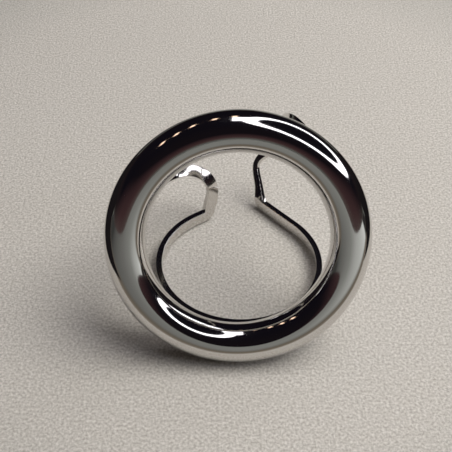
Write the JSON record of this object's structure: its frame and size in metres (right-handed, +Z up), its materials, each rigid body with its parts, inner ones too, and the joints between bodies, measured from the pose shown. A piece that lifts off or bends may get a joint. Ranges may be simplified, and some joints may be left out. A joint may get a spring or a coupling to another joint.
{
  "type": "scarf ring",
  "caption": "Polished scarf ring: a hollow round-section ring with an open strip hoop held behind it on two curled ears, for threading the ends of a scarf.",
  "frame": {"origin": "on the table the piece lies on, under the middle of its bounding box", "axes": "+Z up from the table; the front of the ring faces -Y and is turned up, leaning back towards +Y; +X to the right as seen from the front"},
  "size_m": [0.04, 0.0424, 0.0367],
  "materials": {
    "ring_polish": "mirror polish",
    "clip_polish": "polished strip",
    "braze": "plated over, satin"
  },
  "bodies": {
    "root": {"ring_front_shell": "ring_polish", "ring_back_shell": "ring_polish", "clip_band": "clip_polish", "left_ear": "clip_polish", "right_ear": "clip_polish", "left_ear_braze": "braze", "right_ear_braze": "braze", "band_braze": "braze"}
  },
  "joints": []
}
